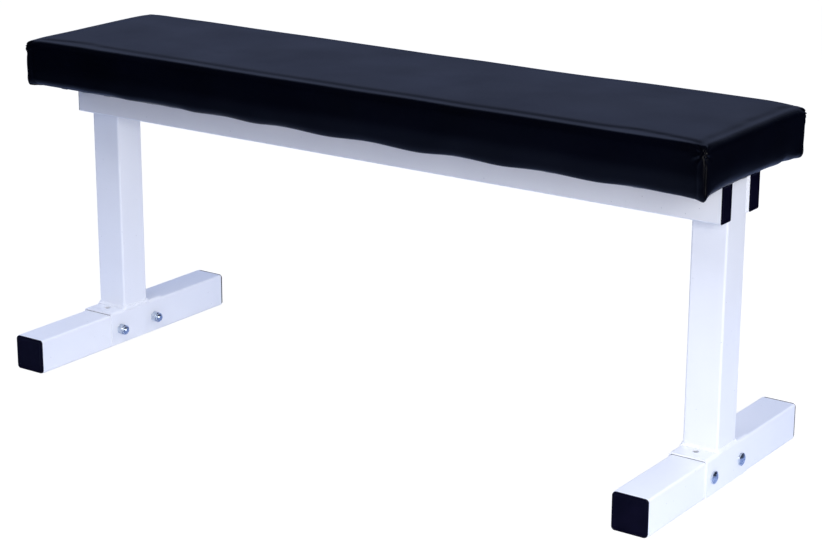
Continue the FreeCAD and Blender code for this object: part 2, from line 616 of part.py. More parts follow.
# ---------------------------------------------------------------- pad bolts, washers, tee nuts
pad_bolt = new_body("pad_bolt")
flats = "(Sizes.pad_bolt_diameter + 2 * Sizes.pad_bolt_wall)"
pad(pad_bolt, hexagon(pad_bolt, "pad_bolt_hexagon", "XY_Plane", flats,
                      f"({PAD_BOLT_SEAT} - Sizes.pad_bolt_head)"), "Sizes.pad_bolt_head")
pad(pad_bolt, circles(pad_bolt, "pad_bolt_shank", "XY_Plane", [("0", "0")], "Sizes.pad_bolt_diameter",
                      PAD_BOLT_SEAT), f"({FOAM_UNDERSIDE} - Sizes.pad_bolt_setback - {PAD_BOLT_SEAT})")
place(pad_bolt, x=PAD_BOLT_X, y=RAIL_OFFSET)
four_copies("pad_bolts", pad_bolt)

washer = new_body("pad_bolt_washer")
pad(washer, circles(washer, "washer_ring", "XY_Plane", [("0", "0")], WASHER_DIAMETER, PAD_BOLT_SEAT),
    "Sizes.washer_thickness")
pocket(washer, circles(washer, "washer_hole", "XY_Plane", [("0", "0")], PAD_BOLT_HOLE), reverse=True)
place(washer, x=PAD_BOLT_X, y=RAIL_OFFSET)
four_copies("pad_bolt_washers", washer)

tee = new_body("pad_tee_nut")
pad(tee, circles(tee, "tee_nut_flange", "XY_Plane", [("0", "0")], TEE_FLANGE_DIAMETER,
                 FOAM_UNDERSIDE), "Sizes.tee_flange")
pad(tee, circles(tee, "tee_nut_barrel", "XY_Plane", [("0", "0")], TEE_BARREL_DIAMETER,
                 f"({FOAM_UNDERSIDE} - Sizes.tee_barrel)"), "Sizes.tee_barrel")
pocket(tee, circles(tee, "tee_nut_bore", "XY_Plane", [("0", "0")], "Sizes.pad_bolt_diameter"), reverse=True)
place(tee, x=PAD_BOLT_X, y=RAIL_OFFSET)
four_copies("pad_tee_nuts", tee)

# ---------------------------------------------------------------- upholstered pad
# Board: plywood with eased lower edges and four holes for the tee nuts' barrels.
board = new_body("pad_board")
pad(board, rounded_rectangle(board, "board_outline", "XY_Plane", BOARD_LENGTH, BOARD_WIDTH, CORE_CORNER,
                             BOARD_UNDERSIDE), "Sizes.board_thickness")
fillet_level(board, "board_eased_edge", "Z", size(BOARD_UNDERSIDE), "Sizes.board_edge")
pocket(board, circles(board, "board_holes", "XY_Plane", four_places(PAD_BOLT_X, RAIL_OFFSET),
                      TEE_BARREL_DIAMETER), reverse=True)
keep(board, "pad_board")

# Foam: one block glued over the board and round its sides, hollowed over each tee nut's flange.
foam = new_body("pad_foam")
pad(foam, rounded_rectangle(foam, "foam_outline", "XY_Plane", CORE_LENGTH, CORE_WIDTH, CORE_CORNER,
                            BOARD_UNDERSIDE), CORE_HEIGHT)
fillet_level(foam, "foam_round_edge", "Z", size(f"({BOARD_UNDERSIDE} + {CORE_HEIGHT})"), "Sizes.foam_edge")
fillet_level(foam, "foam_lower_edge", "Z", size(BOARD_UNDERSIDE), CORE_ROLL)
pocket(foam, rounded_rectangle(foam, "foam_recess", "XY_Plane", BOARD_LENGTH, BOARD_WIDTH, CORE_CORNER,
                               BOARD_UNDERSIDE), "Sizes.board_thickness", reverse=True)
pocket(foam, circles(foam, "foam_hollows", "XY_Plane", four_places(PAD_BOLT_X, RAIL_OFFSET),
                     TEE_FLANGE_DIAMETER, FOAM_UNDERSIDE), "Sizes.tee_flange", reverse=True)
keep(foam, "pad_foam")

# Cover: vinyl over the foam and under the board, open inside its margin.
cover = new_body("cover_outside")
pad(cover, rounded_rectangle(cover, "cover_outline", "XY_Plane", PAD_LENGTH, "Sizes.pad_width",
                             "Sizes.pad_corner", RAIL_TOP), f"({CORE_HEIGHT} + 2 * Sizes.cover_thickness)")
fillet_level(cover, "cover_lower_edge", "Z", size(RAIL_TOP), "Sizes.cover_roll")
fillet_level(cover, "cover_upper_edge", "Z",
             size(f"({RAIL_TOP} + {CORE_HEIGHT} + 2 * Sizes.cover_thickness)"),
             "(Sizes.foam_edge + Sizes.cover_thickness)")
filling = new_body("cover_filling")
pad(filling, rounded_rectangle(filling, "filling_outline", "XY_Plane", CORE_LENGTH, CORE_WIDTH, CORE_CORNER,
                               BOARD_UNDERSIDE), CORE_HEIGHT)
fillet_level(filling, "filling_lower_edge", "Z", size(BOARD_UNDERSIDE), CORE_ROLL)
fillet_level(filling, "filling_upper_edge", "Z", size(f"({BOARD_UNDERSIDE} + {CORE_HEIGHT})"),
             "Sizes.foam_edge")
opening = new_body("cover_opening")
pad(opening, rounded_rectangle(
    opening, "opening_outline", "XY_Plane", f"({PAD_LENGTH} - 2 * Sizes.cover_margin)",
    "(Sizes.pad_width - 2 * Sizes.cover_margin)", "Sizes.pad_corner", RAIL_TOP,
), "Sizes.cover_thickness")
keep(cut("pad_cover", cut("cover_shell", cover, filling), opening), "pad_cover")

# Staples: driven up through the cover's margin into the board, in rows along every side.
half_crown = "Sizes.staple_crown / 2"
half_inner = "(Sizes.staple_crown / 2 - Sizes.staple_gauge)"
staple_outline = [
    (f"-{half_crown}", "-Sizes.staple_gauge"), (half_crown, "-Sizes.staple_gauge"),
    (half_crown, "Sizes.staple_leg"), (half_inner, "Sizes.staple_leg"),
    (half_inner, "0"), (f"-{half_inner}", "0"),
    (f"-{half_inner}", "Sizes.staple_leg"), (f"-{half_crown}", "Sizes.staple_leg"),
]
half_run = f"({PAD_LENGTH} / 2 - Sizes.staple_end_gap)"
half_end_run = "(Sizes.pad_width / 2 - Sizes.staple_end_gap)"
staple_x = f"({PAD_LENGTH} / 2 - Sizes.staple_setback)"
staple_y = "(Sizes.pad_width / 2 - Sizes.staple_setback)"

side_rows = new_body("side_staples")
pad(side_rows, outline(side_rows, "side_staple", "XZ_Plane", staple_outline), "Sizes.staple_wire",
    midplane=True)
repeat_body(side_rows, "side_staple_rows", "X_Axis", f"2 * {half_run}", "Sizes.side_staples",
            "Y_Axis", f"2 * {staple_y}")
place(side_rows, x=f"-{half_run}", y=f"-{staple_y}", z=RAIL_TOP)

end_rows = new_body("end_staples")
pad(end_rows, outline(end_rows, "end_staple", "YZ_Plane", staple_outline), "Sizes.staple_wire",
    midplane=True)
repeat_body(end_rows, "end_staple_rows", "Y_Axis", f"2 * {half_end_run}", "Sizes.end_staples",
            "X_Axis", f"2 * {staple_x}")
place(end_rows, x=f"-{staple_x}", y=f"-{half_end_run}", z=RAIL_TOP)

staples = doc.addObject("Part::Compound", "cover_staples")
staples.Links = [side_rows, end_rows]
keep(staples, "cover_staples")

# ---------------------------------------------------------------- check and write
doc.recompute()
for thing in doc.Objects:
    if "Invalid" in thing.State or "Error" in thing.State:
        raise ValueError(f"{thing.Name} failed: {thing.State}")
for node in nodes:
    if node.Shape.isNull() or not node.Shape.isValid():
        raise ValueError(f"{node.Label} has no valid shape")

os.makedirs("parts", exist_ok=True)
for node in nodes:
    node.Shape.exportStep(f"parts/{node.Label}.step")
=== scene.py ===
import math

import bmesh
import bpy
from mathutils import Matrix, Vector, noise


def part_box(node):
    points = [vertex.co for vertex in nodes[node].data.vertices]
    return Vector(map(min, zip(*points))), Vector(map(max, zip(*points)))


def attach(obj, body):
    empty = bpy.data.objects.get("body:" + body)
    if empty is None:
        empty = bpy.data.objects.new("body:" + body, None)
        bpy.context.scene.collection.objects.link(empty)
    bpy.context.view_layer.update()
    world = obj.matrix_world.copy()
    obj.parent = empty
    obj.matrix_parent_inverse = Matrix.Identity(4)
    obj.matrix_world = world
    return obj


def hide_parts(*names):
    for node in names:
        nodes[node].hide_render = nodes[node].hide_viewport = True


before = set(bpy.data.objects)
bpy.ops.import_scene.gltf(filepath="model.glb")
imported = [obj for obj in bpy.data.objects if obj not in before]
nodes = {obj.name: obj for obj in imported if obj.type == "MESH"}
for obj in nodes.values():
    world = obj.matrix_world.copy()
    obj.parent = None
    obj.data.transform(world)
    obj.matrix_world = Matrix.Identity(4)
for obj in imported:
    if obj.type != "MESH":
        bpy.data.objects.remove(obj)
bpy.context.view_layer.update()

# ---------------------------------------------------------------- camera
# One long lens on a tripod, a little above the pad, looking across the bench from its right
# front corner.
camera = bpy.data.objects.new("camera", bpy.data.cameras.new("camera"))
bpy.context.scene.collection.objects.link(camera)
bpy.context.scene.camera = camera
tripod = Vector((1.6922, -2.3453, 1.0826))
to_right = Vector((0.82276, 0.56836, 0.00628))
to_top = Vector((-0.16556, 0.22907, 0.95923))
facing = Matrix((to_right, to_top, to_right.cross(to_top))).transposed()
camera.matrix_world = Matrix.LocRotScale(tripod, facing, None)
camera.data.lens = 94.16
camera.data.shift_x = -0.0304
camera.data.shift_y = -0.0310
camera.data.clip_end = 60.0

# ---------------------------------------------------------------- studio
# A white sweep under a soft box that hangs in front of the bench, a second soft box beside the
# camera, a weak one behind, and a cool ceiling that fills the shadows and lays a dull sheen on
# the pad's top.
SWEEP_SIZE = 24.0
SWEEP_DROP = 0.0003         # the paper lies just clear of the feet
SWEEP_GLOW = 0.94
SWEEP_TRACE = (0.12, 0.12, 0.12, 1.0)
SWEEP_NEAR = (0.72, 0.75, 0.82, 1.0)
SWEEP_FAR = (0.03, 0.03, 0.04, 1.0)
FADE_PER_METRE = 0.8        # the paper darkens outwards: how far each metre goes through its fade
FADE_START = 0.75           # and how far through it the darkening sets in
WHITE = (1.0, 1.0, 1.0, 1.0)
WALL_GLOW = 1.05            # the white wall, as the camera sees it
FILL_HORIZON = (0.05, (0.044, 0.066, 0.170, 1.0))
FILL_ZENITH = (0.85, (0.64, 0.75, 1.08, 1.0))
# What shines back from glossy parts: a pale backdrop low behind the bench, under a dark ceiling.
BACKDROP_WAY = (-0.58, 0.81, 0.0)
BACKDROP_SIDES = 0.14       # how much of the backdrop's glow is left to its sides
BACKDROP_SPREAD = (0.40, 0.82)
MIRROR_BAND = (
    (0.05, (0.044, 0.066, 0.170, 1.0)), (0.29, (0.31, 0.37, 0.59, 1.0)),
    (0.41, (0.31, 0.37, 0.59, 1.0)), (0.62, (0.030, 0.036, 0.070, 1.0)),
)
MIRROR_FLOOR = (0.50, 0.58, 0.78, 1.0)
MIX_A, MIX_B, MIX_RESULT = 6, 7, 2      # the colour sockets of a Mix node
LAMP_COLOUR = (1.0, 0.985, 0.96)
# Name, stand, aim, width and power of each soft box.
SOFT_BOXES = (
    ("overhead_box", (-0.1, -1.45, 2.5), (0.0, 0.0, 0.3), 1.1, 22.0),
    ("side_box", (2.10, -1.50, 1.0), (0.45, 0.0, 0.25), 1.3, 44.0),
    ("rear_box", (1.2, 2.3, 0.9), (0.0, 0.0, 0.25), 1.2, 13.0),
)

bpy.context.scene.view_settings.view_transform = "Standard"
bpy.context.scene.view_settings.look = "None"

world = bpy.data.worlds.new("studio")
bpy.context.scene.world = world
world.use_nodes = True
tree = world.node_tree
tree.nodes.clear()
direction = tree.nodes.new("ShaderNodeTexCoord")
parts = tree.nodes.new("ShaderNodeSeparateXYZ")
ramp = tree.nodes.new("ShaderNodeValToRGB")
for stop, (height, colour) in zip(ramp.color_ramp.elements, (FILL_HORIZON, FILL_ZENITH)):
    stop.position, stop.color = height, colour
band = tree.nodes.new("ShaderNodeValToRGB")
for number, (height, colour) in enumerate(MIRROR_BAND):
    stop = band.color_ramp.elements[0] if number == 0 else band.color_ramp.elements.new(height)
    stop.position, stop.color = height, colour
band.color_ramp.elements.remove(band.color_ramp.elements[-1])
ahead = tree.nodes.new("ShaderNodeVectorMath")
ahead.operation = "DOT_PRODUCT"
ahead.inputs[1].default_value = BACKDROP_WAY
sides = tree.nodes.new("ShaderNodeMapRange")
sides.interpolation_type = "SMOOTHSTEP"
sides.inputs["From Min"].default_value = BACKDROP_SPREAD[0]
sides.inputs["From Max"].default_value = BACKDROP_SPREAD[1]
sides.inputs["To Min"].default_value = BACKDROP_SIDES
backdrop_glow = tree.nodes.new("ShaderNodeVectorMath")
backdrop_glow.operation = "SCALE"
sky = tree.nodes.new("ShaderNodeMix")
sky.data_type = "RGBA"
fill = tree.nodes.new("ShaderNodeBackground")
wall = tree.nodes.new("ShaderNodeBackground")
wall.inputs["Color"].default_value = WHITE
wall.inputs["Strength"].default_value = WALL_GLOW
path = tree.nodes.new("ShaderNodeLightPath")
choose = tree.nodes.new("ShaderNodeMixShader")
output = tree.nodes.new("ShaderNodeOutputWorld")
tree.links.new(direction.outputs["Generated"], parts.inputs[0])
tree.links.new(parts.outputs["Z"], ramp.inputs["Fac"])
tree.links.new(parts.outputs["Z"], band.inputs["Fac"])
tree.links.new(path.outputs["Is Glossy Ray"], sky.inputs["Factor"])
tree.links.new(ramp.outputs["Color"], sky.inputs[MIX_A])
tree.links.new(direction.outputs["Generated"], ahead.inputs[0])
tree.links.new(ahead.outputs["Value"], sides.inputs["Value"])
tree.links.new(band.outputs["Color"], backdrop_glow.inputs[0])
tree.links.new(sides.outputs["Result"], backdrop_glow.inputs["Scale"])
tree.links.new(backdrop_glow.outputs["Vector"], sky.inputs[MIX_B])
tree.links.new(sky.outputs[MIX_RESULT], fill.inputs["Color"])
tree.links.new(path.outputs["Is Camera Ray"], choose.inputs[0])
tree.links.new(fill.outputs[0], choose.inputs[1])
tree.links.new(wall.outputs[0], choose.inputs[2])
tree.links.new(choose.outputs[0], output.inputs["Surface"])

sweep_shape = bmesh.new()
bmesh.ops.create_grid(sweep_shape, x_segments=4, y_segments=4, size=SWEEP_SIZE / 2)
bmesh.ops.translate(sweep_shape, verts=sweep_shape.verts, vec=(0.0, 0.0, -SWEEP_DROP))
sweep_mesh = bpy.data.meshes.new("sweep")
sweep_shape.to_mesh(sweep_mesh)
sweep_shape.free()
sweep = bpy.data.objects.new("sweep", sweep_mesh)
bpy.context.scene.collection.objects.link(sweep)
paper = bpy.data.materials.new("white_paper")
paper.use_nodes = True
tree = paper.node_tree
tree.nodes.clear()
matt = tree.nodes.new("ShaderNodeBsdfDiffuse")
place = tree.nodes.new("ShaderNodeTexCoord")
distance = tree.nodes.new("ShaderNodeVectorMath")
distance.operation = "LENGTH"
place_scale = tree.nodes.new("ShaderNodeMapping")
place_scale.inputs["Scale"].default_value = (FADE_PER_METRE, FADE_PER_METRE, FADE_PER_METRE)
fade = tree.nodes.new("ShaderNodeValToRGB")
fade.color_ramp.elements[0].position = FADE_START
fade.color_ramp.elements[0].color = SWEEP_NEAR
fade.color_ramp.elements[1].position = 1.0
fade.color_ramp.elements[1].color = SWEEP_FAR
tree.links.new(place.outputs["Object"], place_scale.inputs["Vector"])
tree.links.new(place_scale.outputs[0], distance.inputs[0])
tree.links.new(distance.outputs["Value"], fade.inputs["Fac"])
mirrored = tree.nodes.new("ShaderNodeMix")
mirrored.data_type = "RGBA"
mirrored.blend_type = "MULTIPLY"
mirrored.inputs[MIX_B].default_value = MIRROR_FLOOR
tree.links.new(fade.outputs["Color"], mirrored.inputs[MIX_A])
tree.links.new(mirrored.outputs[MIX_RESULT], matt.inputs["Color"])
glow = tree.nodes.new("ShaderNodeEmission")
glow.inputs["Color"].default_value = WHITE
glow.inputs["Strength"].default_value = SWEEP_GLOW
trace = tree.nodes.new("ShaderNodeBsdfDiffuse")
trace.inputs["Color"].default_value = SWEEP_TRACE
seen = tree.nodes.new("ShaderNodeAddShader")
path = tree.nodes.new("ShaderNodeLightPath")
choose = tree.nodes.new("ShaderNodeMixShader")
below = tree.nodes.new("ShaderNodeNewGeometry")
clear = tree.nodes.new("ShaderNodeBsdfTransparent")
one_way = tree.nodes.new("ShaderNodeMixShader")
output = tree.nodes.new("ShaderNodeOutputMaterial")
tree.links.new(glow.outputs[0], seen.inputs[0])
tree.links.new(trace.outputs[0], seen.inputs[1])
tree.links.new(path.outputs["Is Glossy Ray"], mirrored.inputs["Factor"])
tree.links.new(path.outputs["Is Camera Ray"], choose.inputs[0])
tree.links.new(matt.outputs[0], choose.inputs[1])
tree.links.new(seen.outputs[0], choose.inputs[2])
tree.links.new(below.outputs["Backfacing"], one_way.inputs[0])
tree.links.new(choose.outputs[0], one_way.inputs[1])
tree.links.new(clear.outputs[0], one_way.inputs[2])
tree.links.new(one_way.outputs[0], output.inputs["Surface"])
sweep_mesh.materials.append(paper)

for name, stand, aim, width, power in SOFT_BOXES:
    lamp = bpy.data.objects.new(name, bpy.data.lights.new(name, "AREA"))
    lamp.data.shape = "SQUARE"
    lamp.data.size = width
    lamp.data.energy = power
    lamp.data.color = LAMP_COLOUR
    lamp.location = stand
    lamp.rotation_euler = (Vector(aim) - lamp.location).to_track_quat("-Z", "Y").to_euler()
    lamp.visible_glossy = name == "side_box"
    bpy.context.scene.collection.objects.link(lamp)

# ---------------------------------------------------------------- steel frame
# Square and flat tube with bent saddles, all coated white: a baked powder coat with a faint
# orange-peel skin, a slight cloudiness and a few dust nibs caught in it.


def new_material(name):
    """An empty node material, its shader and a quick way to add a node with preset inputs."""
    material = bpy.data.materials.new(name)
    material.use_nodes = True
    tree = material.node_tree
    shader = tree.nodes["Principled BSDF"]

    def add(kind, **presets):
        node = tree.nodes.new(f"ShaderNode{kind}")
        for key, value in presets.items():
            if key in node.inputs:
                node.inputs[key].default_value = value
            else:
                setattr(node, key, value)
        return node

    return material, tree.links.new, shader, add


def grain(add, link, place, scale, detail=2.0, stretch=(1.0, 1.0, 1.0)):
    """Noise laid in the piece's own space, finer as scale grows, longer as stretch shrinks."""
    mapping = add("Mapping", Scale=stretch)
    speckle = add("TexNoise", Scale=scale, Detail=detail)
    link(place, mapping.inputs["Vector"])
    link(mapping.outputs[0], speckle.inputs["Vector"])
    return speckle.outputs["Fac"]


def blend_colours(add, link, factor, low, high, start=0.3, end=0.7):
    """A colour that runs from low to high as the factor goes from start to end."""
    ramp = add("ValToRGB")
    ramp.color_ramp.elements[0].position = start
    ramp.color_ramp.elements[0].color = (*low, 1.0)
    ramp.color_ramp.elements[1].position = end
    ramp.color_ramp.elements[1].color = (*high, 1.0)
    link(factor, ramp.inputs["Fac"])
    return ramp.outputs["Color"]


def multiply_colours(add, link, base, tint, factor=1.0):
    """The base colour darkened by the tint."""
    mix = add("Mix", data_type="RGBA", blend_type="MULTIPLY")
    mix.inputs["Factor"].default_value = factor
    link(base, mix.inputs[MIX_A])
    link(tint, mix.inputs[MIX_B])
    return mix.outputs[MIX_RESULT]


def blend_values(add, link, factor, low, high, start=0.3, end=0.7):
    """A value that runs from low to high as the factor goes from start to end."""
    limits = {"From Min": start, "From Max": end, "To Min": low, "To Max": high}
    spread = add("MapRange", **limits)
    link(factor, spread.inputs["Value"])
    return spread.outputs["Result"]


def raise_skin(add, link, shader, height, depth):
    """Fine relief of the given depth on a material's surface."""
    bump = add("Bump", Strength=1.0, Distance=depth)
    link(height, bump.inputs["Height"])
    link(bump.outputs["Normal"], shader.inputs["Normal"])


def dress(name, material):
    """Give a plain part its finish."""
    node = nodes[name]
    node.data.materials.clear()
    node.data.materials.append(material)


GAP_HEIGHT = 0.0008         # between a foot's top and the saddle over it
GAP_SLACK = 0.0003
# colour of the painted shade in that gap
GAP_SHADE_COLOUR = (0.02, 0.02, 0.025, 1.0)
ORANGE_PEEL = 0.00012

powder_coat, link, shader, add = new_material("powder_coat")
place = add("TexCoord").outputs["Object"]
cloud = blend_colours(add, link, grain(add, link, place, scale=7.0),
                      low=(0.84, 0.85, 0.875), high=(0.875, 0.885, 0.905))
nib_cells = add("TexVoronoi", Scale=70.0)
link(place, nib_cells.inputs["Vector"])
nibs = blend_colours(add, link, nib_cells.outputs["Distance"],
                     low=(0.62, 0.63, 0.66), high=(1.0, 1.0, 1.0), start=0.028, end=0.05)
coat_colour = multiply_colours(add, link, cloud, nibs)
link(blend_values(add, link, grain(add, link, place, scale=18.0), low=0.30, high=0.40),
     shader.inputs["Roughness"])
# Painted shade: the surfaces in the thin gap between a foot's top and its saddle are painted near-black,
# standing in for the shadow inside the gap.
foot_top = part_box("left_foot")[1].z
saddle_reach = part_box("left_saddle")[1].y
axes = add("SeparateXYZ")
link(place, axes.inputs[0])
level = add("Math", operation="COMPARE")
level.inputs[1].default_value = foot_top + 0.5 * GAP_HEIGHT
level.inputs[2].default_value = 0.5 * GAP_HEIGHT + GAP_SLACK
link(axes.outputs["Z"], level.inputs[0])
across = add("Math", operation="COMPARE")
across.inputs[1].default_value = 0.0
across.inputs[2].default_value = saddle_reach - GAP_SLACK
link(axes.outputs["Y"], across.inputs[0])
foot_low, foot_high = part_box("right_foot")
from_middle = add("Math", operation="ABSOLUTE")
link(axes.outputs["X"], from_middle.inputs[0])
within = add("Math", operation="COMPARE")
within.inputs[1].default_value = (foot_low.x + foot_high.x) / 2
within.inputs[2].default_value = (foot_high.x - foot_low.x) / 2 - GAP_SLACK
link(from_middle.outputs[0], within.inputs[0])
under_saddle = add("Math", operation="MULTIPLY")
link(level.outputs[0], under_saddle.inputs[0])
link(across.outputs[0], under_saddle.inputs[1])
in_gap = add("Math", operation="MULTIPLY")
link(under_saddle.outputs[0], in_gap.inputs[0])
link(within.outputs[0], in_gap.inputs[1])
# lay the painted gap shade over the coat's colour
gap_shade = add("Mix", data_type="RGBA")
link(in_gap.outputs[0], gap_shade.inputs["Factor"])
link(coat_colour, gap_shade.inputs[MIX_A])
gap_shade.inputs[MIX_B].default_value = GAP_SHADE_COLOUR
link(gap_shade.outputs[MIX_RESULT], shader.inputs["Base Color"])
shader.inputs["Specular IOR Level"].default_value = 0.5
raise_skin(add, link, shader, grain(add, link, place, scale=260.0, detail=1.0), ORANGE_PEEL)

for end in ("left", "right"):
    for piece in ("foot", "saddle", "upright"):
        dress(f"{end}_{piece}", powder_coat)
for side in ("front", "rear"):
    dress(f"{side}_rail", powder_coat)

# ---------------------------------------------------------------- weld beads
# Fillet welds round the foot of each upright and along its sides under the rails, laid by hand:
# rows of overlapping ripples under the same white coat.
RIPPLE_PITCH = 0.0034
RIPPLE_HEIGHT = 0.0006
RIPPLE_MESH = 0.0009        # longest edge left in a bead
HALVINGS = 8
HAND_WANDER = 0.0006        # how unevenly the ripples are spaced
HAND_GRAIN = 150.0
SAME_POINT = 1e-6
SLOPING = 0.97              # a face turned further than this to one axis is a bead's flat back


def rippled_bead(name, node):
    """A bead in the place of its plain node, with ripples raised on its sloping faces."""
    bead = bmesh.new()
    bead.from_mesh(nodes[node].data)
    bmesh.ops.remove_doubles(bead, verts=bead.verts, dist=SAME_POINT)
    for _ in range(HALVINGS):
        long_edges = [e for e in bead.edges if e.calc_length() > RIPPLE_MESH]
        bmesh.ops.subdivide_edges(bead, edges=long_edges, cuts=1)
        bmesh.ops.triangulate(bead, faces=bead.faces)
    bead.normal_update()
    for vertex in bead.verts:
        if all(max(map(abs, face.normal)) < SLOPING for face in vertex.link_faces):
            along = sum(vertex.co) + HAND_WANDER * noise.noise(vertex.co * HAND_GRAIN)
            wave = abs(math.sin(math.pi * along / RIPPLE_PITCH))
            vertex.co += vertex.normal * RIPPLE_HEIGHT * wave
    bead_mesh = bpy.data.meshes.new(name)
    bead.to_mesh(bead_mesh)
    bead.free()
    bead_mesh.materials.append(powder_coat)
    piece = bpy.data.objects.new(name, bead_mesh)
    bpy.context.scene.collection.objects.link(piece)
    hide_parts(node)
    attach(piece, "root")


for end in ("left", "right"):
    rippled_bead(f"{end}_base_bead", f"{end}_base_weld")
    rippled_bead(f"{end}_rail_beads", f"{end}_rail_welds")

# ---------------------------------------------------------------- tube plugs
# Black moulded plugs pressed into the open ends of the feet and rails, with a fine spark
# texture from the mould.
PLUG_EDGE = 0.0011          # rounding of the cap's rim
PLUG_RIM = 0.0022           # flat rim round the dish of the cap's face
PLUG_SLOPE = 0.0016         # sloping side of the dish
PLUG_DISH = 0.0005          # depth of the dish
PLUG_INSET = 0.0026         # from the tube's outside to the stem, all round
PLUG_WALL = 0.0020
FOOT_CAP = (0.0030, 0.0050)     # depth of the cap and radius of its corners
RAIL_CAP = (0.0015, 0.0025)
MOULD_TEXTURE = 0.00005

black_plastic, link, shader, add = new_material("black_plastic")
place = add("TexCoord").outputs["Object"]
link(blend_colours(add, link, grain(add, link, place, scale=40.0),
                   low=(0.0008, 0.0006, 0.0060), high=(0.0025, 0.0018, 0.0100)),
     shader.inputs["Base Color"])
link(blend_values(add, link, grain(add, link, place, scale=120.0), low=0.42, high=0.55),
     shader.inputs["Roughness"])
shader.inputs["Specular IOR Level"].default_value = 0.06
raise_skin(add, link, shader, grain(add, link, place, scale=1500.0), MOULD_TEXTURE)


def moulded_plug(name, node, axis, outward, cap):
    """A plug in the place of its plain node: a dished cap with a rounded rim, on a hollow stem."""
    cap_depth, corner = cap
    low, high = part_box(node)
    face, root = (high[axis], low[axis]) if outward > 0 else (low[axis], high[axis])
    length = abs(face - root)
    seat = face - outward * cap_depth
    middle, span = (low + high) / 2, high - low
    middle[axis], span[axis] = (face + seat) / 2, cap_depth
    plug = bmesh.new()
    bmesh.ops.create_cube(plug, size=1.0, matrix=Matrix.LocRotScale(middle, None, span))
    along = [e for e in plug.edges if abs(e.verts[0].co[axis] - e.verts[1].co[axis]) > cap_depth / 2]
    bmesh.ops.bevel(plug, geom=along, offset=corner, segments=6, profile=0.5,
                    affect="EDGES", material=-1)
    front = max(plug.faces, key=lambda f: outward * f.calc_center_median()[axis])
    bmesh.ops.bevel(plug, geom=list(front.edges), offset=PLUG_EDGE, segments=3, profile=0.5,
                    affect="EDGES", material=-1)
    front = max(plug.faces, key=lambda f: outward * f.calc_center_median()[axis])
    bmesh.ops.inset_region(plug, faces=[front], thickness=PLUG_RIM, depth=0.0)
    bmesh.ops.inset_region(plug, faces=[front], thickness=PLUG_SLOPE, depth=-PLUG_DISH)
    back = min(plug.faces, key=lambda f: outward * f.calc_center_median()[axis])
    for inset, push in ((PLUG_INSET, length - cap_depth), (PLUG_WALL, cap_depth - length)):
        bmesh.ops.inset_region(plug, faces=[back], thickness=inset, depth=0.0)
        grown = bmesh.ops.extrude_discrete_faces(plug, faces=[back])
        back = grown["faces"][0]
        shift = Vector()
        shift[axis] = -outward * push
        bmesh.ops.translate(plug, verts=back.verts, vec=shift)
    plug_mesh = bpy.data.meshes.new(name)
    plug.to_mesh(plug_mesh)
    plug.free()
    plug_mesh.materials.append(black_plastic)
    piece = bpy.data.objects.new(name, plug_mesh)
    bpy.context.scene.collection.objects.link(piece)
    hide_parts(node)
    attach(piece, "root")


for end, outward_x in (("left", -1), ("right", 1)):
    for side, outward_y in (("front", -1), ("rear", 1)):
        moulded_plug(f"{end}_foot_{side}_cap", f"{end}_foot_{side}_plug", 1, outward_y, FOOT_CAP)
        moulded_plug(f"{side}_rail_{end}_cap", f"{side}_rail_{end}_plug", 0, outward_x, RAIL_CAP)

# ---------------------------------------------------------------- bolts, nuts and washers
# Bright zinc-plated steel: domed square-neck bolts and lock nuts at the feet, and hexagon bolts,
# washers and tee nuts that hold the pad.
PLATING_RELIEF = 0.00004

zinc, link, shader, add = new_material("zinc")
place = add("TexCoord").outputs["Object"]
link(blend_colours(add, link, grain(add, link, place, scale=160.0, detail=3.0),
                   low=(0.50, 0.57, 0.66), high=(0.74, 0.79, 0.85)),
     shader.inputs["Base Color"])
shader.inputs["Metallic"].default_value = 1.0
link(blend_values(add, link, grain(add, link, place, scale=420.0), low=0.18, high=0.34),
     shader.inputs["Roughness"])
raise_skin(add, link, shader, grain(add, link, place, scale=900.0), PLATING_RELIEF)
for name in ("foot_bolts", "foot_lock_nuts", "pad_bolts", "pad_bolt_washers", "pad_tee_nuts"):
    dress(name, zinc)

# ---------------------------------------------------------------- lock nut rings
# Natural nylon rings, cloudy white, pressed into the collars of the lock nuts to grip the thread.
LIGHT_DEPTH = (0.001, 0.001, 0.001)     # how far light soaks into the ring

nylon, link, shader, add = new_material("nylon")
place = add("TexCoord").outputs["Object"]
link(blend_colours(add, link, grain(add, link, place, scale=300.0),
                   low=(0.70, 0.73, 0.75), high=(0.82, 0.84, 0.85)),
     shader.inputs["Base Color"])
link(blend_values(add, link, grain(add, link, place, scale=500.0), low=0.30, high=0.42),
     shader.inputs["Roughness"])
shader.inputs["Subsurface Weight"].default_value = 0.2
shader.inputs["Subsurface Radius"].default_value = LIGHT_DEPTH
dress("lock_nut_inserts", nylon)

# ---------------------------------------------------------------- staples
# Flat galvanised wire staples, driven up through the cover's margin into the board.
staple_steel, link, shader, add = new_material("staple_steel")
place = add("TexCoord").outputs["Object"]
link(blend_colours(add, link, grain(add, link, place, scale=500.0),
                   low=(0.52, 0.53, 0.54), high=(0.70, 0.71, 0.72)),
     shader.inputs["Base Color"])
shader.inputs["Metallic"].default_value = 1.0
link(blend_values(add, link, grain(add, link, place, scale=700.0), low=0.28, high=0.42),
     shader.inputs["Roughness"])
dress("cover_staples", staple_steel)

# ---------------------------------------------------------------- pad board
# Plywood under the foam, left bare: a rotary-cut face with long grain, and its plies in bands
# along the edges.
LONG_GRAIN = (0.35, 4.0, 4.0)
LONG_PORES = (0.25, 9.0, 9.0)
PORE_DEPTH = 0.0003
BAND_SHARE = 0.25           # how strongly the plies show on the edges

